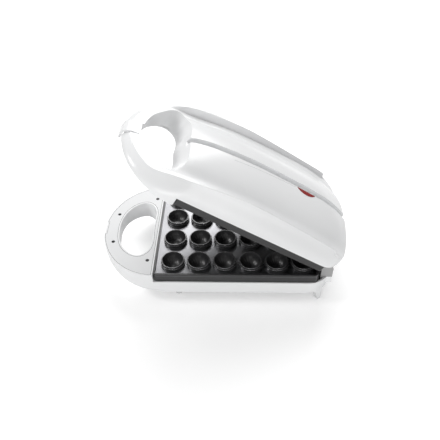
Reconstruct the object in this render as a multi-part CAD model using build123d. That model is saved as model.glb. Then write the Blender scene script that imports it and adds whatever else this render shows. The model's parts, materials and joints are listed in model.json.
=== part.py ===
from build123d import *
import os

# Electric nut cookie maker, in millimetres. X runs from the handle to the hinge, +Z is up.
# Both halves are drawn closed, about the hinge axis at x = 0, z = 0, which lies in the parting plane.
# The lid is then turned open about that axis, and the whole is stood on z = 0.

os.makedirs("parts", exist_ok=True)

# Cups and domes
cup_pitch_x = 38.0
cup_pitch_y = 46.1
cup_columns = 6
cup_rows = 4
cup_radius = 15.2
cup_wall = 2.4
cup_lip = 1.2
cup_rise = 3.0
collar_step = 2.6
wafer_gap = 3.8
dome_wall = 2.4

# Mould plates
plate_width = 190.0
plate_front_margin = 27.0
plate_thickness = 3.0
plate_corner = 5.0
plate_lip = 2.4
cup_to_lip = 0.3
plate_parting_gap = 0.4
lower_flat_drop = 4.5
flat_clearance = 0.5
lower_side_depth = 16.5
upper_side_height = 12.2

# Hinge
hinge_to_cups = 34.0
open_angle = 32.7
barrel_radius = 8.5
barrel_length = 114.0
hinge_pin_radius = 3.0
hinge_pin_play = 0.05
hinge_pin_reach = 14.0
lug_width = 26.0
lug_gap = 0.6

# Housing outline, shared by base and lid
handle_reach = 86.0
body_half_width = 98.0
rear_reach = 8.0
rear_corner = 36.0
wall = 2.6
fit_gap = 0.4
parting_gap = 0.5

# Base
base_depth = 45.5
base_draw = 9.0
base_side_top = 15.0
handle_tip_depth = 11.0
leg_height = 11.5
leg_top_length = 15.0
leg_top_width = 10.0
leg_tip_length = 6.0
leg_tip_width = 5.5
leg_turn = 55.0
leg_inset = 3.6
leg_splay = 2.8
foot_radius = 6.5
foot_seat = 1.0

# Lid
lid_side_bottom = 12.5
lid_height = 51.5
lid_wall = 3.2
rail_slope = 4.5
dome_fall = 15.0
channel_front_width = 10.0
channel_mid_width = 11.5
channel_rear_width = 11.5
channel_depth = 8.5

# Finger hole through both handles
hole_web = 8.5
hole_length = 54.0
hole_half_width = 58.0
lid_hole_half_width = 47.5
hole_flare = 9.0
hole_side_flare = 25.0

# Handle covers and their screws
cover_thickness = 2.2
cover_margin = 2.4
cover_screw_radius = 1.4
cover_screw_head = 2.5
cover_screw_head_height = 1.4
cover_screw_sink = 0.7
cover_screw_length = 9.0
screw_play = 0.15
boss_wall = 2.2

# Plate screws
plate_screw_radius = 2.0
plate_screw_head = 3.8
plate_screw_head_height = 2.6
plate_screw_depth = 10.0
plate_screw_y = 81.0

# Latch on the handle's tip
latch_width = 24.0
latch_sheet = 2.2
latch_pin_radius = 1.5
latch_pin_play = 0.06
latch_pin_inset = 14.0
latch_pin_rise = 10.5
latch_release = 4.0
latch_boss = 2.6
latch_proud = 1.2
latch_front_room = 3.2
catch_depth = 2.6
catch_drop = 8.0
catch_ridge = 1.3
catch_ridge_top = 1.0
catch_ridge_height = 1.6
catch_gap = 0.7

# Heating
tube_radius = 3.3
tube_bend = 9.0
tube_contact_gap = 0.05
sheet = 0.8
shield_dish = 4.0

# Indicator
lens_length = 32.0
lens_width = 7.0
lens_rear = 54.0
lens_proud = 0.4
lens_depth = 5.0
lamp_radius = 2.6
lamp_length = 14.0

# Derived places
first_cup_x = -hinge_to_cups - cup_pitch_x * (cup_columns - 1)
plate_front = first_cup_x - plate_front_margin
plate_rear = -hinge_to_cups + cup_radius + cup_wall + cup_to_lip + plate_lip
plate_mid = (plate_front + plate_rear) / 2
plate_length = plate_rear - plate_front
upper_flat = cup_rise + flat_clearance
lower_under = -lower_flat_drop - plate_thickness
upper_back = upper_flat + plate_thickness
cup_row_y = [cup_pitch_y * (j - (cup_rows - 1) / 2) for j in range(cup_rows)]
cup_places = [(first_cup_x + cup_pitch_x * i, y) for i in range(cup_columns) for y in cup_row_y]
tip_x = plate_front - handle_reach
hole_rear = plate_front - hole_web
hole_front = hole_rear - hole_length
hinge_height = base_depth + leg_height
screw_places = [(first_cup_x + cup_pitch_x / 2 + i * cup_pitch_x * (cup_columns - 2), side * plate_screw_y)
                for i in (0, 1) for side in (-1, 1)]
cover_screw_places = [(hole_rear - 2.5, side * (hole_half_width + 10)) for side in (-1, 1)]
cover_screw_places += [(hole_front - 5.5, side * (hole_half_width / 2 + 1.4)) for side in (-1, 1)]
latch_x = tip_x + latch_pin_inset
catch_x = tip_x + catch_depth
big = 400.0


def outline(z, centre, reach, half_width, rear, corner):
    """Plan outline at height z: half ellipse in front, straight sides, rounded rear corners."""
    side_end = rear - corner
    front = EllipticalCenterArc((centre, 0), reach, half_width, start_angle=90, arc_size=180)
    low_side = Line((centre, -half_width), (side_end, -half_width))
    low_corner = CenterArc((side_end, corner - half_width), corner, -90, 90)
    back = Line((rear, corner - half_width), (rear, half_width - corner))
    high_corner = CenterArc((side_end, half_width - corner), corner, 0, 90)
    high_side = Line((side_end, half_width), (centre, half_width))
    edges = [front, low_side, low_corner, back, high_corner, high_side]
    return Pos(0, 0, z) * make_face(edges)


def plan(inset, z0, z1):
    """The shared outline drawn in by inset, as a straight prism."""
    face = outline(z0, plate_front, handle_reach - inset, body_half_width - inset,
                   rear_reach - inset, rear_corner - inset)
    return extrude(face, amount=z1 - z0)


def hole_face(z, half_width, grow, rear_grow):
    """Finger hole at height z: round towards the tip, flatter and slightly waisted towards the plate."""
    front = hole_front - grow
    rear = hole_rear + rear_grow
    half = half_width + grow
    upper = [(front + 4.5, half * 0.5), (front + 17, half * 0.84), (rear - 18, half),
             (rear - 5, half * 0.83), (rear, half * 0.55)]
    lower = [(x, -y) for x, y in reversed(upper)]
    curve = Spline(*([(front, 0)] + upper + [(rear - 1.2, 0)] + lower), periodic=True)
    return Pos(0, 0, z) * make_face(curve)


def hole_prism(half_width, grow, z0, z1):
    return extrude(hole_face(z0, half_width, grow, grow), amount=z1 - z0)


def block(x0, x1, y0, y1, z0, z1):
    return Pos((x0 + x1) / 2, (y0 + y1) / 2, (z0 + z1) / 2) * Box(x1 - x0, y1 - y0, z1 - z0)


def post(x, y, z0, z1, radius):
    return Pos(x, y, (z0 + z1) / 2) * Cylinder(radius, z1 - z0)


def cross_rod(x, z, y0, y1, radius):
    return Pos(x, (y0 + y1) / 2, z) * Rot(90, 0, 0) * Cylinder(radius, y1 - y0)


def side_prism(points, half_width):
    """Straight-edged side view, drawn as (x, z) points and run across the width."""
    return extrude(Plane.XZ * make_face(Polyline(*points, close=True)), amount=half_width, both=True)


def profile_prism(points, limit):
    """Side view between a smooth curve of (x, z) points and the level limit."""
    curve = Spline(*points)
    rest = Polyline(points[-1], (points[-1][0], limit), (points[0][0], limit), points[0])
    return extrude(Plane.XZ * make_face(curve.edges() + rest.edges()), amount=big / 2, both=True)


def tray(z0, z1, inset):
    """Rounded rectangle of the mould plate's plan, drawn in by inset."""
    corner = max(plate_corner - inset, 1.0)
    face = RectangleRounded(plate_length - 2 * inset, plate_width - 2 * inset, corner)
    return extrude(Pos(plate_mid, 0, z0) * face, amount=z1 - z0)


# Base housing

def base_body(inset, lift):
    """Lower housing: drawn in towards the floor, with the handle's underside rising to the tip."""
    levels = [(-parting_gap, 0.0), (-base_depth * 0.62, 1.2), (-base_depth * 0.87, 3.0),
              (-base_depth, base_draw)]
    faces = [outline(z, plate_front, handle_reach - inset - draw, body_half_width - inset - draw,
                     rear_reach - inset - draw / 2, rear_corner - inset) for z, draw in levels]
    floor_x = plate_front + 62
    under = [(tip_x - 12, -handle_tip_depth + 4 + lift), (tip_x, -handle_tip_depth + lift),
             (tip_x + 28, -0.5 * base_depth + lift), (plate_front, -0.78 * base_depth + lift),
             (floor_x, -base_depth + lift)]
    curve = Spline(*under, tangents=((1, -0.7), (1, 0)))
    end_x = rear_reach + 20
    rest = Polyline(under[-1], (end_x, under[-1][1]), (end_x, 10), (under[0][0], 10), under[0])
    side = extrude(Plane.XZ * make_face(curve.edges() + rest.edges()), amount=140, both=True)
    return loft(faces, ruled=True) & side


def handle_ring(half_width, margin, z0, z1):
    """Flat ring of the handle covers: shared outline less the finger hole, ahead of the plate."""
    ring = plan(margin, z0, z1) - hole_prism(half_width, margin, z0 - 1, z1 + 1)
    ring -= block(plate_front - wall - fit_gap + cover_margin - margin, big, -big, big, z0 - 1, z1 + 1)
    half = latch_width / 2 + 1 + fit_gap + margin - cover_margin
    return ring - block(-big, catch_x + wall + margin - cover_margin, -half, half, z0 - 1, z1 + 1)


def make_base_shell():
    shell = base_body(0, 0)
    inner = base_body(wall, wall)
    cover_floor = -parting_gap - cover_thickness
    shell -= inner & block(plate_front + wall, rear_reach - 2 * wall, -big, big, -big, 0)
    shell -= block(plate_front - fit_gap, big, -big, big, -base_side_top, 10)
    shell -= tray(-lower_side_depth, 0, -fit_gap)
    handle_space = inner & block(-big, plate_front - wall - fit_gap - 1, -big, big, -big, cover_floor)
    handle_space -= hole_prism(hole_half_width, wall, -big / 4, 10)
    handle_space -= block(-big, catch_x + wall, -latch_width / 2 - 3, latch_width / 2 + 3, -60, 10)
    handle_space -= block(hole_rear - 6, big, -hole_half_width - wall, hole_half_width + wall, -60, 10)
    shell -= handle_space
    shell -= handle_ring(hole_half_width, cover_margin - fit_gap, cover_floor, 5)
    shell -= hole_prism(hole_half_width, 0, -60, 10)
    bosses = [post(x, y, -base_depth, cover_floor, cover_screw_radius + boss_wall) & base_body(0, 0)
              for x, y in cover_screw_places]
    bosses += [post(x, y, -base_depth, -lower_side_depth, plate_screw_head + boss_wall - 0.6)
               for x, y in screw_places]
    shell += bosses
    shell -= [post(x, y, cover_floor - cover_screw_length, 5, cover_screw_radius)
              for x, y in cover_screw_places]
    shell -= [post(x, y, -60, 0, plate_screw_radius + screw_play) for x, y in screw_places]
    shell -= [post(x, y, -60, plate_screw_seat, plate_screw_head + screw_play) for x, y in screw_places]
    shell += rear_lugs() + rear_legs()
    shell -= catch_space()
    shell -= [post(x, y, -60, -base_depth + foot_seat, foot_radius + 0.1) for x, y in foot_places]
    shell -= Pos(rear_reach, 0, gland_z) * Rot(0, 90, 0) * Cylinder(gland_radius, 40)
    return shell


def rear_lugs():
    """Two upright lugs on the rear wall, each with a blind bore for its hinge pin."""
    lugs = []
    for side in (-1, 1):
        y0 = side * (barrel_length / 2 + lug_gap)
        y1 = y0 + side * lug_width
        low, high = sorted((y0, y1))
        lug = cross_rod(0, 0, low, high, barrel_radius)
        lug += block(-barrel_radius, rear_reach, low, high, -base_depth * 0.6, 0)
        bore_end = y0 + side * hinge_pin_reach
        bore_low, bore_high = sorted((y0 - side, bore_end))
        lugs.append(lug - cross_rod(0, 0, bore_low, bore_high, hinge_pin_radius))
    return lugs


def rear_legs():
    """Tapered legs under the rounded rear corners, their outer faces flush with the wall."""
    legs = []
    reach = rear_corner - leg_inset
    for side in (-1, 1):
        corner = Pos(rear_reach - rear_corner, side * (body_half_width - rear_corner), 0)
        corner *= Rot(0, 0, side * leg_turn)
        top = corner * Pos(reach - leg_top_width / 2, 0, -base_depth * 0.8)
        tip = corner * Pos(reach + leg_splay - leg_tip_width / 2, 0, -hinge_height)
        legs.append(loft([top * Rectangle(leg_top_width, leg_top_length),
                          tip * Rectangle(leg_tip_width, leg_tip_length)]))
    return legs


def catch_space():
    """Recess in the outer wall of the base's tip, less the ridge that the latch hooks under."""
    half = latch_width / 2 + 1
    ridge_top = -parting_gap - catch_ridge_top
    ridge_bottom = ridge_top - catch_ridge_height
    ridge = side_prism([(catch_x + 1, ridge_top), (catch_x - catch_ridge, ridge_top - 0.6),
                        (catch_x - catch_ridge, ridge_bottom), (catch_x + 1, ridge_bottom)], half)
    return block(-big, catch_x, -half, half, -catch_drop, 10) - ridge


def make_cover(half_width, z0, head_side):
    """Handle cover ring with its four screw recesses; head_side is +1 for heads on top."""
    z1 = z0 + cover_thickness
    cover = handle_ring(half_width, cover_margin, z0, z1)
    cover -= [post(x, y, z0 - 1, z1 + 1, cover_screw_radius + screw_play) for x, y in cover_screw_places]
    face = z1 if head_side > 0 else z0
    inner = face - head_side * (cover_screw_sink + cover_screw_head_height)
    low, high = sorted((inner, face + head_side))
    return cover - [post(x, y, low, high, cover_screw_head + screw_play) for x, y in cover_screw_places]


def make_cover_screws(face, head_side):
    """Pan-head screws, sunk a little below the cover's face."""
    screws = []
    for x, y in cover_screw_places:
        head_top = face - head_side * cover_screw_sink
        head_bottom = head_top - head_side * cover_screw_head_height
        end = head_bottom - head_side * (cover_screw_length - 1)
        screw = post(x, y, min(head_top, head_bottom), max(head_top, head_bottom), cover_screw_head)
        screw += post(x, y, min(head_bottom, end), max(head_bottom, end), cover_screw_radius)
        slot = block(x - cover_screw_head, x + cover_screw_head, y - 0.4, y + 0.4,
                     min(head_top, head_top - head_side * 0.6), max(head_top, head_top - head_side * 0.6))
        screws.append(screw - slot)
    return Compound(children=screws)


def hemisphere_profile(outer, inner, centre_z, down):
    """Half ring between two radii, on the side of centre_z that down gives, ready to revolve."""
    start = -90 if down else 0
    ring = [edge for radius in (outer, inner) for edge in CenterArc((0, centre_z), radius, start, 90).edges()]
    sign = -1 if down else 1
    flat = Line((inner, centre_z), (outer, centre_z))
    axis = Line((0, centre_z + sign * inner), (0, centre_z + sign * outer))
    return make_face(ring + [flat, axis])


def make_cup():
    """One cup: half-round bowl with a thin lip and a stepped collar."""
    outer = cup_radius + cup_wall
    bowl = hemisphere_profile(outer, cup_radius, cup_rise, True)
    collar_top = cup_rise - collar_step
    collar = make_face(Polyline((cup_radius, cup_rise), (cup_radius + cup_lip, cup_rise),
                                (cup_radius + cup_lip, collar_top), (outer, collar_top),
                                (outer, -lower_flat_drop - 1), (cup_radius - 4, -lower_flat_drop - 1),
                                (cup_radius - 4, collar_top), close=True))
    upper = make_face(Polyline((0, cup_rise), (outer + 5, cup_rise), (outer + 5, collar_top),
                               (0, collar_top), close=True))
    void = make_face(CenterArc((0, cup_rise), cup_radius, -90, 90).edges()
                     + Polyline((cup_radius, cup_rise), (0, cup_rise), (0, cup_rise - cup_radius)).edges())
    lip = make_face(Polyline((cup_radius - 4, cup_rise), (cup_radius + cup_lip, cup_rise),
                             (cup_radius + cup_lip, collar_top - 1), (cup_radius - 4, collar_top - 1),
                             close=True))
    profile = (bowl - upper) + collar + lip - void
    return revolve(Plane.XZ * profile, Axis.Z)


def make_lower_plate():
    plate = tray(-lower_side_depth, -plate_parting_gap, 0)
    plate -= tray(-lower_flat_drop, 0, plate_lip)
    plate -= tray(-lower_side_depth - 1, lower_under, plate_thickness)
    plate -= [post(x, y, lower_under - 1, 0, cup_radius - 1) for x, y in cup_places]
    plate += [post(x, y, shield_top, lower_under, plate_screw_radius + boss_wall) for x, y in screw_places]
    cup = make_cup()
    plate += [Pos(x, y, 0) * cup for x, y in cup_places]
    return plate - [post(x, y, shield_top - 1, shield_top + plate_screw_depth - 3, plate_screw_radius)
                    for x, y in screw_places]


def make_upper_plate():
    dome = cup_radius - wafer_gap
    plate = tray(plate_parting_gap, upper_side_height, 0)
    plate -= tray(0, upper_flat, plate_lip)
    plate -= tray(upper_back, upper_side_height + 1, plate_thickness)
    plate -= [post(x, y, upper_flat - 1, upper_back + 1, dome - 1) for x, y in cup_places]
    shell = hemisphere_profile(dome, dome - dome_wall, upper_flat, True)
    sleeve = make_face(Polyline((dome - dome_wall, upper_flat), (dome, upper_flat), (dome, upper_back),
                                (dome - dome_wall, upper_back), close=True))
    bump = revolve(Plane.XZ * (shell + sleeve), Axis.Z)
    plate += [Pos(x, y, 0) * bump for x, y in cup_places]
    plate += [post(x, y, upper_back, shield_low, plate_screw_radius + boss_wall) for x, y in screw_places]
    plate -= [post(x, y, 0, shield_low + 1, plate_screw_radius + screw_play) for x, y in screw_places]
    return plate - [post(x, y, 0, upper_screw_seat, plate_screw_head + screw_play) for x, y in screw_places]


def make_tube(z):
    """U-shaped heating tube between the outer cup rows, with a cold pin in each end."""
    run_y = cup_pitch_y
    start_x = plate_rear - plate_thickness - 9
    turn_x = plate_front + plate_thickness + tube_radius + 4.7
    path = FilletPolyline((start_x, run_y, z), (turn_x, run_y, z), (turn_x, -run_y, z), (start_x, -run_y, z),
                          radius=tube_bend)
    ring = Plane(origin=(start_x, run_y, z), z_dir=(-1, 0, 0)) * Circle(tube_radius)
    tube = sweep(ring, path=path)
    pins = [Pos(start_x + 2, side * run_y, z) * Rot(0, 90, 0) * Cylinder(1.1, 5) for side in (-1, 1)]
    return tube + pins


def make_shield(face_z, side):
    """Sheet tray that closes the heating space; its flange is clamped at the plate screws."""
    inset = plate_thickness + fit_gap
    corner = plate_corner + 3
    dish_x = plate_length - 2 * (inset + 2.4)
    dish_y = 2 * (plate_screw_y - plate_screw_head - boss_wall - 0.6)
    lower, upper = sorted((face_z, face_z + side * sheet))
    flange = tray(lower, upper, inset)
    dish_end = face_z + side * (sheet + shield_dish)
    low, high = sorted((face_z + side * sheet * 0.5, dish_end))
    dish = extrude(Pos(plate_mid, 0, low) * RectangleRounded(dish_x, dish_y, corner), amount=high - low)
    low, high = sorted((face_z - side, dish_end - side * sheet))
    inner = RectangleRounded(dish_x - 2 * sheet, dish_y - 2 * sheet, corner - sheet)
    shield = flange + dish - extrude(Pos(plate_mid, 0, low) * inner, amount=high - low)
    return shield - [post(x, y, face_z - 5, face_z + 5, plate_screw_radius + screw_play)
                     for x, y in screw_places]


def make_plate_screws(seat, tip, side):
    """Machine screws from the housing into the plate's bosses; side is the way the heads point."""
    screws = []
    for x, y in screw_places:
        low, high = sorted((seat, seat + side * plate_screw_head_height))
        screw = post(x, y, low, high, plate_screw_head)
        low, high = sorted((seat, tip))
        screw += post(x, y, low, high, plate_screw_radius)
        end = seat + side * plate_screw_head_height
        low, high = sorted((end, end - side * 1.2))
        screw -= block(x - plate_screw_head, x + plate_screw_head, y - 0.6, y + 0.6, low, high)
        screws.append(screw)
    return Compound(children=screws)


# Lid housing

# Stations along the lid: place, crown height, fall from crown to side, rail height, rail's inner face
roof = [(tip_x - 15, 0.17, 0.0, 0.17, 28.0), (tip_x, 0.225, 0.0, 0.225, 28.0),
        (tip_x + 15, 0.28, 0.0, 0.28, 28.0), (hole_front + 5, 0.33, 0.0, 0.33, 28.0),
        (hole_front + 20, 0.4, 0.03, 0.4, 27.0), (hole_rear - 18, 0.52, 0.13, 0.535, 25.0),
        (plate_front - 11, 0.62, 0.4, 0.65, 22.0), (plate_front + 6, 0.75, 0.8, 0.72, 19.5),
        (plate_front + 43, 0.9, 1.0, 0.8, 17.0), (plate_front + 91, 0.98, 1.0, 0.875, 15.5),
        (plate_mid + 28, 1.0, 1.0, 0.87, 14.5), (plate_rear - 45, 0.99, 1.0, 0.82, 13.5),
        (plate_rear - 10, 0.93, 1.0, 0.79, 12.5), (plate_rear + 5, 0.87, 0.97, 0.77, 12.0),
        (rear_reach - 2, 0.78, 0.9, 0.75, 11.5), (rear_reach + 16, 0.58, 0.8, 0.72, 11.0)]
dome_shape = [(0.0, 0.0), (0.22, 0.05), (0.47, 0.27), (0.67, 0.62), (0.83, 0.93), (1.0, 1.0)]


def lid_body(inset):
    """Upper housing: upright skirt, then leaning in to the rails, tightest round the handle."""
    levels = [(parting_gap, 0.0, 0.0, 0.0), (5.0, 0.6, 0.2, 1.0), (lid_side_bottom + 1.5, 9.0, 1.2, 3.5),
              (30.0, 24.0, 8.5, 6.0), (46.0, 38.0, 15.8, 1.0), (62.0, 52.0, 24.0, -10.0)]
    faces = [outline(z, plate_front + 0.45 * draw_tip, handle_reach - inset - 0.55 * draw_tip,
                     body_half_width - inset - draw_side, rear_reach + rear - inset, rear_corner - inset)
             for z, draw_tip, draw_side, rear in levels]
    return loft(faces)


def roof_section(station, lower):
    """Section across the lid: level rails outside, a step down, and the dome between."""
    x, crown, fall, rail, inset = station
    top = crown * lid_height - lower
    rail_top = rail * lid_height - lower
    wall_y = body_half_width - inset
    foot_y = wall_y - rail_slope
    far = body_half_width + 20
    right = [(foot_y * share, top - dome_fall * fall * part) for share, part in dome_shape]
    left = [(-y, z) for y, z in reversed(right[1:])]
    dome = Spline(*(left + right), tangents=((1, 0.12), (1, -0.12)))
    side = Polyline(right[-1], (wall_y, rail_top), (far, rail_top), (far, -5), (-far, -5),
                    (-far, rail_top), (-wall_y, rail_top), left[0])
    return Plane(origin=(x, 0, 0), x_dir=(0, 1, 0), z_dir=(1, 0, 0)) * make_face(dome.edges() + side.edges())


def roof_body(lower):
    return loft([roof_section(station, lower) for station in roof])


def rail_end_cutters():
    """Cut both rails down to the dome's foot behind the plates."""
    foot = [(station[0], station[1] * lid_height - dome_fall * station[2]) for station in roof[-4:]]
    foot[0] = (plate_rear - 1.5, foot[0][1])
    profile = make_face(Polyline(*foot, (foot[-1][0], lid_height), (foot[0][0], lid_height), close=True))
    inner_y = body_half_width - roof[-1][4] - rail_slope - 2.5
    depth = body_half_width + 10 - inner_y
    return [Pos(0, side * (inner_y + depth / 2), 0) * extrude(Plane.XZ * profile, amount=depth / 2, both=True)
            for side in (-1, 1)]


def channel_cutter(grow, depth):
    """Long leaf-shaped channel along the middle of the dome, open at both ends."""
    front = roof[4][0] + 1
    rear = rear_reach + 40
    half = [w / 2 + grow for w in (channel_front_width, channel_mid_width, channel_rear_width)]
    near = Spline((front, -half[0]), (plate_mid, -half[1]), (rear, -half[2]))
    far = Spline((rear, half[2]), (plate_mid, half[1]), (front, half[0]))
    ends = [Line(near @ 1, far @ 0), Line(far @ 1, near @ 0)]
    strip = extrude(make_face([near, far] + ends), amount=big / 4)
    floor = [(station[0], station[1] * lid_height - depth) for station in roof[4:]]
    floor[-1] = (rear + 5, floor[-1][1])
    return strip - profile_prism(floor, -10)


def hole_funnel(grow):
    """Finger hole of the lid: widens upwards to both sides and towards the dome."""
    low = hole_face(-1, lid_hole_half_width, grow, grow)
    high = hole_face(36, lid_hole_half_width + hole_side_flare, grow, grow + hole_flare)
    return loft([low, high], ruled=True)


def lid_room():
    """Space over the upper plate, leaning in towards the rails."""
    mid = (plate_front + rear_reach) / 2
    length = rear_reach - plate_front - 2 * lid_wall
    half = body_half_width - 2 * lid_wall
    levels = [(lid_side_bottom - 0.1, 0, 26), (34, 13, 22), (60, 18, 20)]
    faces = [Pos(mid, 0, z) * RectangleRounded(length - lean, 2 * (half - lean), corner)
             for z, lean, corner in levels]
    return loft(faces, ruled=True)


def make_lid_shell():
    shell = lid_body(0) & roof_body(0)
    shell -= block(plate_front - fit_gap, big, -big, big, -10, lid_side_bottom)
    shell -= rail_end_cutters()
    shell -= channel_cutter(0, channel_depth)
    shell -= hole_funnel(0)
    lowered = roof_body(lid_wall)
    shell -= (lowered & lid_room()) - channel_cutter(lid_wall, channel_depth + lid_wall)
    cover_roof = parting_gap + cover_thickness
    room = lid_body(lid_wall) & lowered
    room &= block(-big, plate_front - wall - fit_gap - 1, -big, big, cover_roof, 60)
    room -= hole_funnel(wall)
    room -= block(-big, hole_front + 2, -latch_width / 2 - 5, latch_width / 2 + 5, 0, 60)
    room -= block(hole_rear - 12, big, -hole_half_width - 6, hole_half_width + 6, 0, 60)
    shell -= room
    shell -= handle_ring(lid_hole_half_width, cover_margin - fit_gap, -5, cover_roof)
    boss_tops = [24, 24, 14, 14]
    shell += [post(x, y, cover_roof, top, cover_screw_radius + boss_wall)
              for (x, y), top in zip(cover_screw_places, boss_tops)]
    shell -= [post(x, y, -5, cover_roof + cover_screw_length, cover_screw_radius)
              for x, y in cover_screw_places]
    shell += [post(x, y, shield_high, 34, plate_screw_radius + boss_wall) for x, y in screw_places]
    shell -= [post(x, y, shield_low - 1, 24, plate_screw_radius) for x, y in screw_places]
    shell += lid_barrel()
    shell -= latch_space()
    shell -= make_latch_pin()
    return shell - lens_prism(screw_play, 30, big / 4)


def lid_barrel():
    """Hinge barrel on a web under the rear wall, bored at both ends for the pins."""
    half = barrel_length / 2
    barrel = cross_rod(0, 0, -half, half, barrel_radius)
    barrel += block(-barrel_radius + 1, rear_reach, -half, half, 0, lid_side_bottom + lid_wall)
    for side in (-1, 1):
        low, high = sorted((side * (half + 1), side * (half - hinge_pin_reach - lug_gap)))
        barrel -= cross_rod(0, 0, low, high, hinge_pin_radius + hinge_pin_play)
    return barrel


def latch_space():
    """Recess in the handle's tip for the latch, clear of it over its whole swing."""
    half = latch_width / 2 + fit_gap
    floor = latch_pin_rise - latch_boss - fit_gap
    space = block(-big, hole_front + 2, -half, half, floor, big)
    return space + block(-big, tip_x + latch_front_room, -half, half, -10, floor + 1)


def lens_prism(grow, z0, z1):
    """Leaf-shaped prism beside the channel, pointed towards the handle."""
    x1 = -lens_rear + grow
    x0 = x1 - lens_length - 2 * grow
    near_y = -channel_mid_width / 2 - 1.2
    edge = Line((x0, near_y + grow), (x1, near_y + grow))
    bow = ThreePointArc((x1, near_y + grow), ((x0 + x1) / 2 + 4, near_y - lens_width - grow),
                        (x0, near_y + grow))
    return extrude(Pos(0, 0, z0) * make_face([edge, bow]), amount=z1 - z0)


def make_lens():
    return lens_prism(0, lid_height - lens_depth, lid_height + 5) & roof_body(-lens_proud)


def make_lamp():
    x = -lens_rear - lens_length / 2
    y = -channel_mid_width / 2 - 1.2 - lens_width / 2 - 1.6
    z = lid_height - lens_depth - lamp_radius - 2
    lamp = Pos(x, y, z) * Rot(0, 90, 0) * Cylinder(lamp_radius, lamp_length)
    holder = block(x - 5, x + 5, y - lamp_radius - 1.4, y + lamp_radius + 1.4, z - lamp_radius - 1.2, z)
    holder -= Pos(x, y, z) * Rot(0, 90, 0) * Cylinder(lamp_radius, lamp_length)
    return lamp, holder


# Latch

def latch_profile():
    """Side view of the latch in its closed position: cap, front wall and inward hook."""
    front = tip_x - latch_proud
    hook_top = -parting_gap - catch_ridge_top - catch_ridge_height - catch_gap
    hook_x = catch_x - catch_gap
    skin = Spline((hole_front - 2.5, 16.2), (tip_x + 11, 14.6), (tip_x + 3.4, 11.6), (front + 0.5, 6.5),
                  (front, 1.5))
    hook = [(front, hook_top - 1.8), (hook_x, hook_top - 1.2), (hook_x, hook_top),
            (front + latch_sheet, hook_top + 0.6), (front + latch_sheet, 4.0)]
    floor = latch_pin_rise - latch_boss
    inside = [(tip_x + 1.6, floor), (latch_x, floor), (hole_front - 2.5, floor + 1.2)]
    rest = Polyline(skin @ 1, *hook, *inside, skin @ 0)
    return make_face(skin.edges() + rest.edges())


def make_latch():
    half = latch_width / 2
    latch = extrude(Plane.XZ * latch_profile(), amount=half, both=True)
    latch += cross_rod(latch_x, latch_pin_rise, -half, half, latch_boss)
    latch -= cross_rod(latch_x, latch_pin_rise, -half - 1, half + 1, latch_pin_radius + latch_pin_play)
    about_pin = Pos(latch_x, 0, latch_pin_rise) * Rot(0, latch_release, 0) * Pos(-latch_x, 0, -latch_pin_rise)
    return about_pin * latch


def make_latch_pin():
    half = latch_width / 2 + 4
    return cross_rod(latch_x, latch_pin_rise, -half, half, latch_pin_radius)


# Smaller pieces of the base

def make_hinge_pins():
    """Two stub pins, held in the lugs and running in the lid's barrel."""
    y0 = barrel_length / 2 - hinge_pin_reach
    y1 = barrel_length / 2 + lug_gap + hinge_pin_reach
    return Compound(children=[cross_rod(0, 0, y0, y1, hinge_pin_radius),
                              cross_rod(0, 0, -y1, -y0, hinge_pin_radius)])


def make_front_feet():
    """Rubber feet that taper to the ground from their sockets in the floor."""
    feet = []
    for x, y in foot_places:
        top = Pos(x, y, -base_depth + foot_seat) * Circle(foot_radius)
        tip = Pos(x, y, -hinge_height) * Circle(foot_radius - 1)
        feet.append(loft([top, tip]))
    return Compound(children=feet)


def make_cord_gland():
    """Grommet in the rear wall, with a blind cord hole."""
    axis = Rot(0, 90, 0)
    gland = Pos(rear_reach - 1.5, 0, gland_z) * axis * Cylinder(gland_radius - 0.2, 9)
    gland += Pos(rear_reach + 1.5, 0, gland_z) * axis * Cylinder(gland_radius + 2.2, 2.4)
    return gland - Pos(rear_reach + 1, 0, gland_z) * axis * Cylinder(gland_radius - 2.6, 6)


def make_thermostat():
    """Round snap thermostat under the middle of the lower plate, with two blade terminals."""
    x = first_cup_x + 2.5 * cup_pitch_x
    body = post(x, 0, lower_under - 5.5, lower_under, 8.2)
    body += post(x, 0, lower_under - 9, lower_under - 5.5, 6.4)
    return body + [block(x - 2.4, x + 2.4, y - 0.4, y + 0.4, lower_under - 12.2, lower_under - 9)
                   for y in (-4, 4)]


def make_thermal_fuse():
    """Axial fuse in a clip under the lower plate."""
    x = first_cup_x + 1.5 * cup_pitch_x
    z = lower_under - 3.0
    fuse = Pos(x, 0, z) * Rot(0, 90, 0) * Cylinder(2.0, 11)
    fuse += Pos(x, 0, z) * Rot(0, 90, 0) * Cylinder(0.5, 24)
    return fuse + block(x - 2, x + 2, -3.2, 3.2, z, lower_under)


def make_terminal_block():
    """Three-way block on the floor behind the plates."""
    floor = -base_depth + wall
    x = plate_rear - 8
    body = block(x - 9, x + 9, -15, 15, floor, floor + 11)
    body -= [Pos(x, y, floor + 5) * Rot(0, 90, 0) * Cylinder(2.0, 40) for y in (-9, 0, 9)]
    return body - [post(x + dx, y, floor + 7, floor + 12, 1.8) for y in (-9, 0, 9) for dx in (-5, 5)]


# Small places that several pieces share
shield_top = -lower_side_depth + sheet
shield_low = upper_side_height - 1.4
shield_high = shield_low + sheet
plate_screw_seat = -base_depth + 12.0
upper_screw_seat = upper_flat + plate_screw_head_height
foot_places = [(first_cup_x + 6, side * (body_half_width - 19)) for side in (-1, 1)]
gland_z = -base_depth * 0.6
gland_radius = 6.0
tube_low = lower_under - tube_radius - tube_contact_gap
tube_high = upper_back + tube_radius + tube_contact_gap

base = {}
lid = {}

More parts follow.
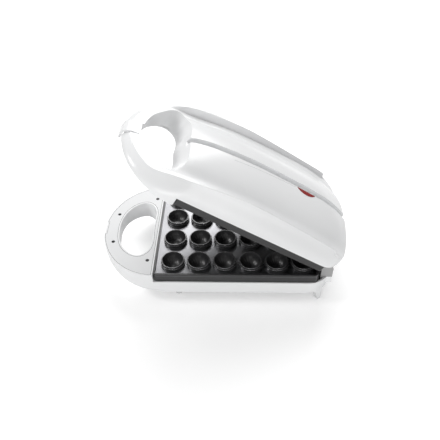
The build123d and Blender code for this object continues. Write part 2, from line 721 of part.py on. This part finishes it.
base["base_shell"] = make_base_shell()
print("base_shell")
base["base_handle_cover"] = make_cover(hole_half_width, -parting_gap - cover_thickness, 1)
base["cover_screws"] = make_cover_screws(-parting_gap, 1)
base["lower_mould_plate"] = make_lower_plate()
print("lower_mould_plate")
base["lower_heating_element"] = make_tube(tube_low)
base["lower_heat_shield"] = make_shield(shield_top, -1)
base["hinge_pins"] = make_hinge_pins()
base["front_feet"] = make_front_feet()
base["cord_gland"] = make_cord_gland()
base["thermostat"] = make_thermostat()
base["thermal_fuse"] = make_thermal_fuse()
base["terminal_block"] = make_terminal_block()
base["lower_plate_screws"] = make_plate_screws(plate_screw_seat, shield_top + plate_screw_depth - 4, -1)

lid["lid_shell"] = make_lid_shell()
print("lid_shell")
lid["lid_handle_cover"] = make_cover(lid_hole_half_width, parting_gap, -1)
lid["lid_cover_screws"] = make_cover_screws(parting_gap, -1)
lid["upper_mould_plate"] = make_upper_plate()
lid["upper_plate_screws"] = make_plate_screws(upper_screw_seat, shield_high + plate_screw_depth, -1)
lid["upper_heating_element"] = make_tube(tube_high)
lid["upper_heat_shield"] = make_shield(shield_low, 1)
lid["indicator_lens"] = make_lens()
lid["indicator_lamp"], lid["lamp_holder"] = make_lamp()
lid["latch"] = make_latch()
lid["latch_pin"] = make_latch_pin()

# The halves are set at their rest pose, and the origin goes to the middle of the footprint
placed = {name: Pos(0, 0, hinge_height) * piece for name, piece in base.items()}
placed.update({name: Pos(0, 0, hinge_height) * Rot(0, open_angle, 0) * piece for name, piece in lid.items()})
boxes = [piece.bounding_box() for piece in placed.values()]
hinge_x = -(min(box.min.X for box in boxes) + max(box.max.X for box in boxes)) / 2
print("hinge_x", round(hinge_x, 4))

for name, piece in placed.items():
    shape = Pos(hinge_x, 0, 0) * piece
    box = shape.bounding_box()
    print(name, len(shape.solids()), round(shape.volume), [round(v, 1) for v in (*box.min, *box.max)])
    export_step(shape, f"parts/{name}.step")
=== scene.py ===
import json
from math import atan2, cos, hypot, pi, radians, sin

import bmesh
import bpy
from mathutils import Matrix, Vector
from mathutils.bvhtree import BVHTree

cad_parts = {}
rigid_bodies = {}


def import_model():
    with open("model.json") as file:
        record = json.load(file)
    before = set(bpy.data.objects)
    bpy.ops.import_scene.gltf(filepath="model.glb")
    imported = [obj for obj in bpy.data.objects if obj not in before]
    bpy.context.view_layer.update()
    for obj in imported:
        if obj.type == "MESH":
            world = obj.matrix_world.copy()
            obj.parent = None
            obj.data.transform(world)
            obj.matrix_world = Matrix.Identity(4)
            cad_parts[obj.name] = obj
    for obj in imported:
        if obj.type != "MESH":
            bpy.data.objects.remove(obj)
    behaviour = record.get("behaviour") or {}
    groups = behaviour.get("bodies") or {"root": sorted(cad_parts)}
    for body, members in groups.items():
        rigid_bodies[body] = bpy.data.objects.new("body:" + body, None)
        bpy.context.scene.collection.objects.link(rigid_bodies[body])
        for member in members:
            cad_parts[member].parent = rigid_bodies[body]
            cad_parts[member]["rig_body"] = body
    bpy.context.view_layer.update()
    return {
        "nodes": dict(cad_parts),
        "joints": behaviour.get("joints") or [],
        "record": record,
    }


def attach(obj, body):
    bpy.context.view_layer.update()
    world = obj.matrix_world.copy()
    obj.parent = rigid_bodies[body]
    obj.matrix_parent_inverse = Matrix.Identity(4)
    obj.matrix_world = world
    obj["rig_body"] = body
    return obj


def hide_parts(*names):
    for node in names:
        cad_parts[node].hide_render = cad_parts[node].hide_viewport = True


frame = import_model()
nodes = frame["nodes"]
print("frame loaded:", len(nodes), "nodes")

# the hinge's place and the angle that the lid stands open at rest, which is how far it can turn down
hinge = next(j for j in frame["joints"] if j["name"] == "lid_hinge")
hingePoint = Vector(hinge["pos_m"])
hingeRecord = next(j for j in frame["record"]["behaviour"]["joints"] if j["name"] == "lid_hinge")
openAngle = radians(-hingeRecord["range_deg"][0])
lidTurn = Matrix.Translation(hingePoint) @ Matrix.Rotation(openAngle, 4, "Y")   # from the closed lid to rest


# helpers
def linkMesh(name, bm, body, material, smoothAngle, inwards=False):
    bmesh.ops.recalc_face_normals(bm, faces=bm.faces)
    if inwards:
        bmesh.ops.reverse_faces(bm, faces=bm.faces)
    mesh = bpy.data.meshes.new(name)
    bm.to_mesh(mesh)
    bm.free()
    return finishObject(name, mesh, body, material, smoothAngle)


def finishObject(name, mesh, body, material, smoothAngle):
    obj = bpy.data.objects.new(name, mesh)
    bpy.context.scene.collection.objects.link(obj)
    mesh.materials.clear()
    mesh.materials.append(material)
    mesh.polygons.foreach_set("use_smooth", [True] * len(mesh.polygons))
    mesh.set_sharp_from_angle(angle=radians(smoothAngle))
    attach(obj, body)
    return obj


def node(tree, kind, x, y, **values):
    made = tree.nodes.new(kind)
    made.location = (x, y)
    for key, value in values.items():
        setattr(made, key, value)
    return made


def newMaterial(name):
    mat = bpy.data.materials.new(name)
    mat.use_nodes = True
    return mat, mat.node_tree, mat.node_tree.nodes["Principled BSDF"]


# noise on Object coordinates
def addPattern(tree, scale, detail, x=-900, y=0):
    coords = node(tree, "ShaderNodeTexCoord", x - 200, y)
    noise = node(tree, "ShaderNodeTexNoise", x, y)
    noise.inputs["Scale"].default_value = scale
    noise.inputs["Detail"].default_value = detail
    tree.links.new(coords.outputs["Object"], noise.inputs["Vector"])
    return noise


def spreadTo(tree, source, low, high, x=-600, y=0):
    ramp = node(tree, "ShaderNodeMapRange", x, y)
    ramp.inputs["To Min"].default_value = low
    ramp.inputs["To Max"].default_value = high
    tree.links.new(source, ramp.inputs["Value"])
    return ramp


def addBump(tree, shader, source, strength, distance, x=-300, y=-300):
    bump = node(tree, "ShaderNodeBump", x, y)
    bump.inputs["Strength"].default_value = strength
    bump.inputs["Distance"].default_value = distance
    tree.links.new(source, bump.inputs["Height"])
    tree.links.new(bump.outputs["Normal"], shader.inputs["Normal"])
    return bump


# rounds sharp edges in the shading, as moulding leaves them
def softenEdges(tree, relief, radius):
    soft = node(tree, "ShaderNodeBevel", relief.location.x - 300, relief.location.y - 300, samples=6)
    soft.inputs["Radius"].default_value = radius
    tree.links.new(soft.outputs["Normal"], relief.inputs["Normal"])


def tintBetween(tree, shader, source, dark, light, x=-600, y=300):
    mix = node(tree, "ShaderNodeMix", x, y, data_type="RGBA")
    mix.inputs[6].default_value = (*dark, 1)    # A, the first colour
    mix.inputs[7].default_value = (*light, 1)   # B, the second
    tree.links.new(source, mix.inputs[0])
    tree.links.new(mix.outputs[2], shader.inputs["Base Color"])
    return mix


# materials, with noise scales in waves per metre and depths in metres
plasticSet = {"cloud": 9, "rub": 60, "peel": 420, "roughSpread": (0.85, 1.2), "peelStrength": 0.04,
              "peelDepth": 0.0004, "softEdge": 0.0006, "index": 1.49}


def makeGlossPlastic(name, dark, light, rough):
    mat, tree, shader = newMaterial(name)
    cloud = addPattern(tree, plasticSet["cloud"], 2)
    tintBetween(tree, shader, cloud.outputs["Fac"], dark, light)
    rub = addPattern(tree, plasticSet["rub"], 4, y=-300)
    low, high = (rough * share for share in plasticSet["roughSpread"])
    roughness = spreadTo(tree, rub.outputs["Fac"], low, high, y=-100)
    tree.links.new(roughness.outputs["Result"], shader.inputs["Roughness"])
    peel = addPattern(tree, plasticSet["peel"], 2, y=-600)
    relief = addBump(tree, shader, peel.outputs["Fac"], plasticSet["peelStrength"], plasticSet["peelDepth"])
    softenEdges(tree, relief, plasticSet["softEdge"])
    shader.inputs["IOR"].default_value = plasticSet["index"]
    return mat


coatingSet = {"wallDark": (0.022, 0.022, 0.023), "wallLight": (0.036, 0.036, 0.037),
              "flatTint": (0.22, 0.22, 0.228), "flatSink": 0.0045, "band": 0.0003, "rough": (0.24, 0.34),
              "cloud": 22, "grain": 2600, "grainStrength": 0.25, "grainDepth": 0.00012,
              "softEdge": 0.00035, "index": 1.6}


# cast and coated: dull on the walls, and on the flat between the cups it shines like metal
def makeCoating(name, flatHeight=None):
    mat, tree, shader = newMaterial(name)
    cloud = addPattern(tree, coatingSet["cloud"], 4)
    mix = tintBetween(tree, shader, cloud.outputs["Fac"], coatingSet["wallDark"], coatingSet["wallLight"])
    grain = addPattern(tree, coatingSet["grain"], 2, y=-300)
    roughness = spreadTo(tree, cloud.outputs["Fac"], *coatingSet["rough"], y=-100)
    tree.links.new(roughness.outputs["Result"], shader.inputs["Roughness"])
    relief = addBump(tree, shader, grain.outputs["Fac"],
                     coatingSet["grainStrength"], coatingSet["grainDepth"])
    softenEdges(tree, relief, coatingSet["softEdge"])
    shader.inputs["IOR"].default_value = coatingSet["index"]
    if flatHeight is not None:
        coords = node(tree, "ShaderNodeTexCoord", -1300, 700)
        parts = node(tree, "ShaderNodeSeparateXYZ", -1100, 700)
        tree.links.new(coords.outputs["Object"], parts.inputs["Vector"])
        level = node(tree, "ShaderNodeMath", -900, 700, operation="COMPARE")
        level.inputs[1].default_value = flatHeight
        level.inputs[2].default_value = coatingSet["band"]
        tree.links.new(parts.outputs["Z"], level.inputs[0])
        shine = node(tree, "ShaderNodeMix", -300, 500, data_type="RGBA")
        shine.inputs[7].default_value = (*coatingSet["flatTint"], 1)
        tree.links.new(level.outputs[0], shine.inputs[0])
        tree.links.new(mix.outputs[2], shine.inputs[6])
        tree.links.new(shine.outputs[2], shader.inputs["Base Color"])
        tree.links.new(level.outputs[0], shader.inputs["Metallic"])
    return mat


metalSet = {"cloud": 90, "scratch": 700, "roughSpread": (0.7, 1.3), "scratchStrength": 0.1,
            "scratchDepth": 0.0002}


def makeMetal(name, dark, light, rough):
    mat, tree, shader = newMaterial(name)
    cloud = addPattern(tree, metalSet["cloud"], 4)
    tintBetween(tree, shader, cloud.outputs["Fac"], dark, light)
    scratch = addPattern(tree, metalSet["scratch"], 5, y=-300)
    low, high = (rough * share for share in metalSet["roughSpread"])
    roughness = spreadTo(tree, scratch.outputs["Fac"], low, high, y=-100)
    tree.links.new(roughness.outputs["Result"], shader.inputs["Roughness"])
    addBump(tree, shader, scratch.outputs["Fac"], metalSet["scratchStrength"], metalSet["scratchDepth"])
    shader.inputs["Metallic"].default_value = 1.0
    return mat


matteSet = {"cloud": 40, "grain": 900, "roughSpread": (0.85, 1.15), "grainStrength": 0.2,
            "grainDepth": 0.0002}


def makeMatte(name, dark, light, rough):
    mat, tree, shader = newMaterial(name)
    cloud = addPattern(tree, matteSet["cloud"], 3)
    tintBetween(tree, shader, cloud.outputs["Fac"], dark, light)
    grain = addPattern(tree, matteSet["grain"], 3, y=-300)
    low, high = (rough * share for share in matteSet["roughSpread"])
    roughness = spreadTo(tree, grain.outputs["Fac"], low, high, y=-100)
    tree.links.new(roughness.outputs["Result"], shader.inputs["Roughness"])
    addBump(tree, shader, grain.outputs["Fac"], matteSet["grainStrength"], matteSet["grainDepth"])
    return mat


lensSet = {"dark": (0.26, 0.006, 0.005), "light": (0.42, 0.012, 0.009), "cloud": 120, "rough": (0.10, 0.18),
           "clear": 0.25}


def makeLensRed(name):
    mat, tree, shader = newMaterial(name)
    cloud = addPattern(tree, lensSet["cloud"], 2)
    tintBetween(tree, shader, cloud.outputs["Fac"], lensSet["dark"], lensSet["light"])
    roughness = spreadTo(tree, cloud.outputs["Fac"], *lensSet["rough"], y=-100)
    tree.links.new(roughness.outputs["Result"], shader.inputs["Roughness"])
    shader.inputs["Transmission Weight"].default_value = lensSet["clear"]
    return mat


glassSet = {"dark": (0.85, 0.70, 0.60), "light": (0.95, 0.84, 0.76), "cloud": 150, "rough": 0.05,
            "clear": 0.8}


def makeClearGlass(name):
    mat, tree, shader = newMaterial(name)
    cloud = addPattern(tree, glassSet["cloud"], 2)
    tintBetween(tree, shader, cloud.outputs["Fac"], glassSet["dark"], glassSet["light"])
    shader.inputs["Roughness"].default_value = glassSet["rough"]
    shader.inputs["Transmission Weight"].default_value = glassSet["clear"]
    return mat


# each finish: its darker tint, its lighter tint and its roughness
whitePlastic = makeGlossPlastic("white gloss plastic", (0.83, 0.835, 0.84), (0.86, 0.865, 0.87), 0.24)
lugGreyTone = makeGlossPlastic("darker grey on the hinge lugs", (0.33, 0.33, 0.33), (0.39, 0.39, 0.39), 0.38)
jointShadow = makeMatte("shadow in a joint", (0.030, 0.030, 0.030), (0.050, 0.050, 0.050), 0.85)
seamShadow = makeMatte("shadow in a shallow seam", (0.30, 0.30, 0.30), (0.38, 0.38, 0.38), 0.8)
whiteCover = makeGlossPlastic("white satin plastic", (0.73, 0.735, 0.74), (0.77, 0.775, 0.78), 0.38)
plateFlat = hingePoint.z - coatingSet["flatSink"]
blackCoating = makeCoating("black non-stick coating")
plateCoating = makeCoating("black non-stick coating, polished flat", plateFlat)
# painted highlight: the cup rims get a lighter metal than the black coating, for their thin light lines
rimHighlightMetal = makeMetal("lighter metal on the rims for painted highlights", (0.34, 0.34, 0.345), (0.46, 0.46, 0.47), 0.28)
heaterSteel = makeMetal("annealed heater steel", (0.24, 0.22, 0.21), (0.36, 0.34, 0.33), 0.42)
shieldAluminium = makeMetal("mill aluminium sheet", (0.62, 0.62, 0.63), (0.76, 0.76, 0.77), 0.30)
darkSteel = makeMetal("burnished screw steel", (0.06, 0.06, 0.062), (0.11, 0.11, 0.112), 0.38)
zincSteel = makeMetal("zinc plated steel", (0.42, 0.42, 0.44), (0.58, 0.58, 0.60), 0.28)
brass = makeMetal("plain brass", (0.55, 0.42, 0.20), (0.70, 0.55, 0.30), 0.30)
phenolic = makeMatte("dark phenolic", (0.045, 0.032, 0.026), (0.075, 0.055, 0.045), 0.55)
naturalPlastic = makeMatte("natural nylon", (0.70, 0.67, 0.60), (0.80, 0.77, 0.70), 0.45)
rubber = makeMatte("black rubber", (0.018, 0.018, 0.018), (0.035, 0.035, 0.035), 0.75)
paleRubber = makeMatte("pale grey rubber", (0.56, 0.56, 0.56), (0.66, 0.66, 0.66), 0.60)
lensRed = makeLensRed("red lens")
lampGlass = makeClearGlass("lamp glass")

nodeFinish = {
    "base_shell": whitePlastic, "base_handle_cover": whiteCover, "cover_screws": darkSteel,
    "lower_mould_plate": plateCoating, "lower_heating_element": heaterSteel,
    "lower_heat_shield": shieldAluminium, "lower_plate_screws": zincSteel, "thermostat": phenolic,
    "thermal_fuse": brass, "terminal_block": naturalPlastic, "cord_gland": rubber,
    "front_feet": paleRubber, "hinge_pins": zincSteel, "lid_shell": whitePlastic,
    "lid_handle_cover": whiteCover, "lid_cover_screws": darkSteel, "upper_mould_plate": blackCoating,
    "upper_heating_element": heaterSteel, "upper_heat_shield": shieldAluminium,
    "upper_plate_screws": zincSteel, "indicator_lens": lensRed, "indicator_lamp": lampGlass,
    "lamp_holder": naturalPlastic, "latch": whitePlastic, "latch_pin": zincSteel,
}
for name, material in nodeFinish.items():
    nodes[name].data.materials.clear()
    nodes[name].data.materials.append(material)
print("materials set")


# shells and plates with their loose triangles joined, so that curved walls shade smoothly
smoothSet = {"joinWithin": 0.00001, "shellAngle": 32, "plateAngle": 35}
smoothNames = {"lid_shell": "lidShell", "base_shell": "baseShell", "latch": "tipLatch",
               "upper_mould_plate": "upperPlate", "lower_mould_plate": "lowerPlate",
               "indicator_lens": "indicatorLens", "base_handle_cover": "baseHandleCover",
               "lid_handle_cover": "lidHandleCover"}


def smoothCopy(name, newName, angle):
    source = nodes[name]
    bm = bmesh.new()
    bm.from_mesh(source.data)
    bmesh.ops.remove_doubles(bm, verts=bm.verts, dist=smoothSet["joinWithin"])
    mesh = bpy.data.meshes.new(newName)
    bm.to_mesh(mesh)
    bm.free()
    stored = mesh.attributes.get("custom_normal")
    if stored:
        mesh.attributes.remove(stored)
    obj = finishObject(newName, mesh, source["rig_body"], nodeFinish[name], angle)
    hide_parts(name)


for name, newName in smoothNames.items():
    angle = smoothSet["plateAngle"] if name.endswith("_plate") else smoothSet["shellAngle"]
    smoothCopy(name, newName, angle)
print("shells joined")

# the hinge lugs on the base are drawn in a darker grey than the shell, with a clean border
lugSet = {"front": 0.0092, "foot": 0.0155, "inner": 0.0560, "outer": 0.0850, "snap": 0.000001}


def greyLugs():
    mesh = bpy.data.objects["baseShell"].data
    bm = bmesh.new()
    bm.from_mesh(mesh)
    borders = [Vector((-lugSet["front"], 0, 0)), Vector((0, 0, -lugSet["foot"]))]
    borders += [Vector((0, side * lugSet[edge], 0)) for side in (-1, 1) for edge in ("inner", "outer")]
    for offset in borders:
        geometry = bm.verts[:] + bm.edges[:] + bm.faces[:]
        bmesh.ops.bisect_plane(bm, geom=geometry, dist=lugSet["snap"], plane_co=hingePoint + offset,
                               plane_no=offset.normalized())
    for face in bm.faces:
        place = face.calc_center_median() - hingePoint
        ahead = place.x > -lugSet["front"] and place.z > -lugSet["foot"]
        face.material_index = 1 if ahead and lugSet["inner"] < abs(place.y) < lugSet["outer"] else 0
    bm.to_mesh(mesh)
    bm.free()
    mesh.materials.append(lugGreyTone)
    mesh.set_sharp_from_angle(angle=radians(smoothSet["shellAngle"]))


greyLugs()


# painted shadow: dark lines where the handle covers meet the shells, standing in for the shade in the gap
jointSet = {"width": 0.00062, "sink": 0.00004, "outerFace": 0.99, "wall": 0.3, "weld": 0.00003, "angle": 60}


# dark ribbon of painted shade in the gap round a cover, from the edges of the cover's outer face
def makeJointShadow(nodeName, newName, body, outwards):
    bm = bmesh.new()
    bm.from_mesh(nodes[nodeName].data)
    bmesh.ops.remove_doubles(bm, verts=bm.verts, dist=smoothSet["joinWithin"])
    down = outwards * -jointSet["sink"]
    ribbon = bmesh.new()
    for edge in bm.edges:
        if len(edge.link_faces) != 2:
            continue
        top, wall = sorted(edge.link_faces, key=lambda face: -face.normal.dot(outwards))
        facesOut = top.normal.dot(outwards) > jointSet["outerFace"]
        if not facesOut or abs(wall.normal.dot(outwards)) > jointSet["wall"]:
            continue
        across = wall.normal * jointSet["width"]
        a, b = (vert.co + down for vert in edge.verts)
        ribbon.faces.new([ribbon.verts.new(corner) for corner in (a, b, b + across, a + across)])
    bm.free()
    bmesh.ops.remove_doubles(ribbon, verts=ribbon.verts, dist=jointSet["weld"])
    linkMesh(newName, ribbon, body, jointShadow, jointSet["angle"])


makeJointShadow("base_handle_cover", "baseCoverJointShadow", "base", Vector((0, 0, 1)))
makeJointShadow("lid_handle_cover", "lidCoverJointShadow", "lid", lidTurn.to_3x3() @ Vector((0, 0, -1)))
print("joints shaded")


# walnut flutes in the cups and on the domes
cupSet = {"radius": 0.0152, "rise": 0.0030, "skin": 0.00006, "flutes": 18, "swell": 0.00035,
          "fadePower": 0.7, "rings": 14, "segments": 72, "hang": 0.0002, "dome": 0.0114, "domeRoot": 0.0035,
          "joinWithin": 0.000002, "angle": 60}
beadSet = {"radius": 0.00028, "sink": 0.8, "sides": 8, "steps": 56, "lip": 0.0012, "wall": 0.0024,
           "collarDrop": 0.0026}
cupBoxes = [o["box_m"] for o in frame["record"]["physics"]["openings"] if o["name"].startswith("cup_")]
cupCentres = [((low[0] + high[0]) / 2, (low[1] + high[1]) / 2) for low, high in cupBoxes]
print("cups found:", len(cupCentres))


# half ball hung from its rim: an arc spun round, then waved by flutes that fade at the rim and the pole
def makeBowl(radius, swell):
    bm = bmesh.new()
    falls = [pi / 2 * i / cupSet["rings"] for i in range(cupSet["rings"] + 1)]
    arc = [bm.verts.new((radius * cos(fall), 0, -radius * sin(fall))) for fall in falls]
    edges = [bm.edges.new(pair) for pair in zip(arc, arc[1:])]
    bmesh.ops.spin(bm, geom=arc + edges, cent=(0, 0, 0), axis=(0, 0, 1), angle=2 * pi,
                   steps=cupSet["segments"], use_merge=True)
    bmesh.ops.remove_doubles(bm, verts=bm.verts, dist=cupSet["joinWithin"])
    for vert in bm.verts:
        fall = atan2(-vert.co.z, hypot(vert.co.x, vert.co.y))
        fade = max(0.0, sin(2 * fall)) ** cupSet["fadePower"]
        wave = 0.5 - 0.5 * cos(cupSet["flutes"] * atan2(vert.co.y, vert.co.x))
        vert.co *= 1 + swell * wave * fade / radius
    return bm


# the shape in bm, repeated at every place
def repeatAt(bm, places):
    first = bm.verts[:] + bm.edges[:] + bm.faces[:]
    for place in places:
        copied = bmesh.ops.duplicate(bm, geom=first)["geom"]
        verts = [item for item in copied if isinstance(item, bmesh.types.BMVert)]
        bmesh.ops.translate(bm, verts=verts, vec=place)
    bmesh.ops.delete(bm, geom=first, context="VERTS")


def makeCupFlutes():
    bm = makeBowl(cupSet["radius"] - cupSet["skin"], -cupSet["swell"])
    rimHeight = hingePoint.z + cupSet["rise"] - cupSet["hang"]
    repeatAt(bm, [(x, y, rimHeight) for x, y in cupCentres])
    return linkMesh("cupFlutes", bm, "base", blackCoating, cupSet["angle"], inwards=True)


def makeDomeFlutes():
    bm = makeBowl(cupSet["dome"] + cupSet["skin"], cupSet["swell"])
    rootHeight = cupSet["domeRoot"] - cupSet["hang"]
    repeatAt(bm, [(x - hingePoint.x, y, rootHeight) for x, y in cupCentres])
    bmesh.ops.transform(bm, matrix=lidTurn, verts=bm.verts)
    return linkMesh("domeFlutes", bm, "lid", blackCoating, cupSet["angle"])


# thin round bead on an upright circle, closed by a full spin
def addBead(bm, radius, height):
    bead = beadSet["radius"]
    turns = [2 * pi * k / beadSet["sides"] for k in range(beadSet["sides"])]
    ring = [bm.verts.new((radius + bead * cos(turn), 0, height + bead * sin(turn))) for turn in turns]
    edges = [bm.edges.new(pair) for pair in zip(ring, ring[1:] + ring[:1])]
    bmesh.ops.spin(bm, geom=ring + edges, cent=(0, 0, 0), axis=(0, 0, 1), angle=2 * pi,
                   steps=beadSet["steps"], use_merge=True)


# beads on the cup rims, in the lighter metal that paints their highlight lines
def makeRimBeads():
    bm = bmesh.new()
    sunk = beadSet["radius"] * beadSet["sink"]
    addBead(bm, cupSet["radius"] + beadSet["lip"] - sunk, -sunk)
    addBead(bm, cupSet["radius"] + beadSet["wall"] - sunk, -sunk - beadSet["collarDrop"])
    bmesh.ops.remove_doubles(bm, verts=bm.verts, dist=cupSet["joinWithin"])
    repeatAt(bm, [(x, y, hingePoint.z + cupSet["rise"]) for x, y in cupCentres])
    return linkMesh("rimBeads", bm, "base", rimHighlightMetal, cupSet["angle"])


for piece in (makeCupFlutes(), makeDomeFlutes(), makeRimBeads()):
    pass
print("cups and domes fluted")


# painted shade of the fine joint line of the lamp's strip, beside the channel: a thin grey grid laid on the
# lid
seamSet = {"start": (-0.190, -0.0135), "end": (-0.089, -0.0085), "steps": 40, "width": 0.00035,
           "lift": 0.00004, "dropFrom": 0.2, "angle": 60}


def makeLampSeam():
    shell = nodes["lid_shell"].data
    tree = BVHTree.FromPolygons([v.co for v in shell.vertices], [p.vertices for p in shell.polygons])
    up = lidTurn.to_3x3() @ Vector((0, 0, 1))
    start, end = Vector(seamSet["start"]), Vector(seamSet["end"])
    bm = bmesh.new()
    bmesh.ops.create_grid(bm, x_segments=seamSet["steps"], y_segments=1, size=0.5)
    for vert in bm.verts:
        x, y = start.lerp(end, vert.co.x + 0.5)
        above = lidTurn @ Vector((x, y + vert.co.y * seamSet["width"], seamSet["dropFrom"]))
        vert.co = tree.ray_cast(above, -up)[0] + up * seamSet["lift"]
    linkMesh("lampStripSeamShade", bm, "lid", seamShadow, seamSet["angle"])


makeLampSeam()
print("seam laid")


# stage
stageSet = {"floorSize": 8.0, "floorParts": 8, "floorTone": 0.84, "floorRough": 0.9, "floorGlow": 0.34,
            "worldStrength": 0.40, "lampAim": (0, 0, 0.1)}
lampSet = {
    "back softbox": {"place": (0.22, 1.20, 1.30), "size": (1.3, 1.2), "watts": 24.0},
    "left key": {"place": (-1.15, -0.08, 1.05), "size": (0.32, 0.32), "watts": 6.0},
    "low fill": {"place": (0.0, -1.60, 0.30), "size": (1.8, 0.5), "watts": 11.0},
}


def makeFloor():
    bm = bmesh.new()
    parts = stageSet["floorParts"]
    bmesh.ops.create_grid(bm, x_segments=parts, y_segments=parts, size=stageSet["floorSize"] / 2)
    mesh = bpy.data.meshes.new("floor")
    bm.to_mesh(mesh)
    bm.free()
    floor = bpy.data.objects.new("floor", mesh)
    bpy.context.scene.collection.objects.link(floor)
    mat, tree, shader = newMaterial("paper floor")
    shader.inputs["Base Color"].default_value = (*[stageSet["floorTone"]] * 3, 1)
    shader.inputs["Roughness"].default_value = stageSet["floorRough"]
    shader.inputs["Specular IOR Level"].default_value = 0.0
    paths = node(tree, "ShaderNodeLightPath", -500, -300)
    glow = spreadTo(tree, paths.outputs["Is Camera Ray"], 0.0, stageSet["floorGlow"], x=-250, y=-300)
    tree.links.new(glow.outputs["Result"], shader.inputs["Emission Strength"])
    shader.inputs["Emission Color"].default_value = (1, 1, 1, 1)
    mesh.materials.append(mat)


def makeWorld():
    world = bpy.data.worlds.new("studio")
    bpy.context.scene.world = world
    world.use_nodes = True
    tree = world.node_tree
    back = tree.nodes["Background"]
    back.inputs["Color"].default_value = (1, 1, 1, 1)
    paths = node(tree, "ShaderNodeLightPath", -700, 0)
    seen = node(tree, "ShaderNodeMath", -500, 0, operation="MAXIMUM")
    tree.links.new(paths.outputs["Is Camera Ray"], seen.inputs[0])
    tree.links.new(paths.outputs["Is Transmission Ray"], seen.inputs[1])
    level = spreadTo(tree, seen.outputs[0], stageSet["worldStrength"], 1.0, x=-300)
    tree.links.new(level.outputs["Result"], back.inputs["Strength"])


def makeLamp(name, sizes):
    lamp = bpy.data.lights.new(name, "AREA")
    lamp.shape = "RECTANGLE"
    lamp.size, lamp.size_y = sizes["size"]
    lamp.energy = sizes["watts"]
    obj = bpy.data.objects.new(name, lamp)
    bpy.context.scene.collection.objects.link(obj)
    obj.location = sizes["place"]
    obj.rotation_mode = "QUATERNION"
    obj.rotation_quaternion = (obj.location - Vector(stageSet["lampAim"])).to_track_quat("Z", "Y")


makeFloor()
makeWorld()
for lampName, lampSizes in lampSet.items():
    makeLamp(lampName, lampSizes)

# camera, with its angles in degrees and its focal length in pixels of the 440 pixel wide photograph
cameraSet = {"place": (0.02753, -0.60217, 0.64996), "azimuth": -2.97, "elevation": 43.67, "roll": -1.73,
             "focalPixels": 544.1, "photoPixels": 440, "film": 36, "near": 0.01, "far": 50}


def makeCamera():
    azimuth, elevation, roll = (radians(cameraSet[k]) for k in ("azimuth", "elevation", "roll"))
    ahead = Vector((sin(azimuth) * cos(elevation), cos(azimuth) * cos(elevation), -sin(elevation)))
    right = ahead.cross(Vector((0, 0, 1))).normalized()
    up = right.cross(ahead)
    turnedRight = cos(roll) * right + sin(roll) * up
    turnedUp = cos(roll) * up - sin(roll) * right
    axes = Matrix((turnedRight, turnedUp, -ahead)).transposed()
    data = bpy.data.cameras.new("photo camera")
    data.lens = cameraSet["focalPixels"] / cameraSet["photoPixels"] * cameraSet["film"]
    data.sensor_width = cameraSet["film"]
    data.clip_start, data.clip_end = cameraSet["near"], cameraSet["far"]
    camera = bpy.data.objects.new("photo camera", data)
    bpy.context.scene.collection.objects.link(camera)
    camera.matrix_world = Matrix.Translation(cameraSet["place"]) @ axes.to_4x4()
    bpy.context.scene.camera = camera


makeCamera()
bpy.context.scene.view_settings.view_transform = "Standard"
print("stage and camera set")
